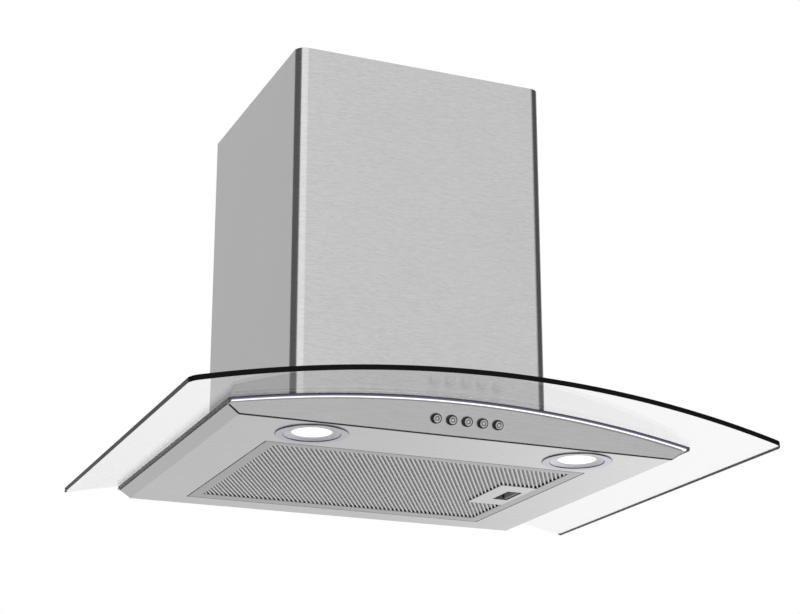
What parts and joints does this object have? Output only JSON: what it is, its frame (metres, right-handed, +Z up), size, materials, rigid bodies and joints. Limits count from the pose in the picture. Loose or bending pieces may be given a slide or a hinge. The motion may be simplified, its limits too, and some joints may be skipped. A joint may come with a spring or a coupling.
{
  "type": "chimney range hood",
  "caption": "Wall-mounted chimney range hood with an arched clear glass canopy, brushed steel body, push-button front, round lamps and a drop-down mesh grease filter.",
  "frame": {"origin": "midway between the two wall screws, on the wall plane, 120 mm above the sole", "axes": "+Z up, +X to the right seen from the front, -Y towards the room, the wall is the plane y = 0"},
  "size_m": [0.6, 0.481, 0.4351],
  "materials": {
    "brushed_steel": "fine horizontal brushed grain",
    "galvanised": "plain galvanised sheet, dull grey",
    "bright_trim": "polished",
    "satin_ring": "satin",
    "seal_rubber": "matte black",
    "canopy_glass": "clear, polished, dark ground edge",
    "lamp_glow": "frosted, lit from behind",
    "button_metal": "satin, turned",
    "filter_aluminium": "expanded mesh and folded frame",
    "latch_steel": "satin",
    "latch_plastic": "moulded",
    "heat_sink": "cast, satin",
    "spring_steel": "bright",
    "black_plastic": "moulded",
    "white_plastic": "moulded",
    "fan_plastic": "moulded, fine texture",
    "motor_enamel": "enamel",
    "zinc_screws": "zinc plated",
    "lead_sheath": "soft sheath"
  },
  "bodies": {
    "hood_body": {"glass_canopy": "canopy_glass", "glass_screws": "zinc_screws", "glass_washers": "seal_rubber", "glass_spacers": "seal_rubber", "glass_nuts": "zinc_screws", "front_trim": "bright_trim", "side_seal_left": "seal_rubber", "side_seal_right": "seal_rubber", "rear_seal": "seal_rubber", "body_shell": "brushed_steel", "top_panel": "galvanised", "fascia": "brushed_steel", "switch_block": "black_plastic", "lamp_clips": "spring_steel", "led_driver": "white_plastic", "motor_housing": "galvanised", "housing_top": "galvanised", "housing_screws": "zinc_screws", "base_screws": "zinc_screws", "fan_scroll": "fan_plastic", "motor": "motor_enamel", "motor_bearings": "spring_steel", "motor_bracket": "galvanised", "motor_grommets": "seal_rubber", "motor_screws": "zinc_screws", "capacitor": "white_plastic", "capacitor_clip": "galvanised", "terminal_box": "black_plastic", "terminal_cover": "black_plastic", "terminal_block": "white_plastic", "cable_gland": "black_plastic", "outlet_collar": "fan_plastic", "collar_screws": "zinc_screws", "damper_pin": "spring_steel", "lower_chimney": "brushed_steel", "lamp_lead_left": "lead_sheath", "lamp_lead_right": "lead_sheath", "motor_lead": "lead_sheath", "lamp_bezel_left": "satin_ring", "lamp_lens_left": "lamp_glow", "lamp_module_left": "heat_sink", "lamp_bezel_right": "satin_ring", "lamp_lens_right": "lamp_glow", "lamp_module_right": "heat_sink"},
    "lamp_button": {"button_lamp": "button_metal"},
    "off_button": {"button_off": "button_metal"},
    "speed_button_1": {"button_speed_1": "button_metal"},
    "speed_button_2": {"button_speed_2": "button_metal"},
    "speed_button_3": {"button_speed_3": "button_metal"},
    "grease_filter": {"filter_frame": "filter_aluminium", "filter_mesh": "filter_aluminium", "filter_mesh_back": "filter_aluminium", "filter_latch_plate": "latch_steel"},
    "latch_slider": {"filter_latch": "latch_plastic"},
    "fan_wheel": {"impeller": "fan_plastic", "motor_shaft": "spring_steel"},
    "front_flap": {"damper_flap_front": "fan_plastic"},
    "rear_flap": {"damper_flap_rear": "fan_plastic"},
    "chimney_extension": {"upper_chimney": "brushed_steel", "chimney_bracket": "galvanised"}
  },
  "joints": [
    {"name": "lamp_button_press", "type": "slide", "parent": "hood_body", "child": "lamp_button", "axis": [0, 0.9524, 0.3048], "range_m": [0, 0.0025], "stiffness_N_per_m": 600, "springref_m": -0.0015},
    {"name": "off_button_press", "type": "slide", "parent": "hood_body", "child": "off_button", "axis": [0, 0.9524, 0.3048], "range_m": [0, 0.0025], "stiffness_N_per_m": 600, "springref_m": -0.0015},
    {"name": "speed_button_1_press", "type": "slide", "parent": "hood_body", "child": "speed_button_1", "axis": [0, 0.9524, 0.3048], "range_m": [0, 0.0025], "stiffness_N_per_m": 600, "springref_m": -0.0015},
    {"name": "speed_button_2_press", "type": "slide", "parent": "hood_body", "child": "speed_button_2", "axis": [0, 0.9524, 0.3048], "range_m": [0, 0.0025], "stiffness_N_per_m": 600, "springref_m": -0.0015},
    {"name": "speed_button_3_press", "type": "slide", "parent": "hood_body", "child": "speed_button_3", "axis": [0, 0.9524, 0.3048], "range_m": [0, 0.0025], "stiffness_N_per_m": 600, "springref_m": -0.0015},
    {"name": "filter_drop", "type": "hinge", "parent": "hood_body", "child": "grease_filter", "pos_m": [-0.1725, -0.165, -0.119], "axis": [0, 1, 0], "range_deg": [0, 45]},
    {"name": "filter_latch_slide", "type": "slide", "parent": "grease_filter", "child": "latch_slider", "axis": [-1, 0, 0], "range_m": [0, 0.005], "stiffness_N_per_m": 500, "springref_m": -0.003},
    {"name": "fan_spin", "type": "hinge", "parent": "hood_body", "child": "fan_wheel", "pos_m": [0, -0.135, 0.025], "axis": [1, 0, 0], "continuous": true},
    {"name": "front_flap_swing", "type": "hinge", "parent": "hood_body", "child": "front_flap", "pos_m": [0, -0.135, 0.1827], "axis": [-1, 0, 0], "range_deg": [0, 75]},
    {"name": "rear_flap_swing", "type": "hinge", "parent": "hood_body", "child": "rear_flap", "pos_m": [0, -0.135, 0.1827], "axis": [1, 0, 0], "range_deg": [0, 75]},
    {"name": "chimney_extend", "type": "slide", "parent": "hood_body", "child": "chimney_extension", "axis": [0, 0, 1], "range_m": [0, 0.36]}
  ]
}
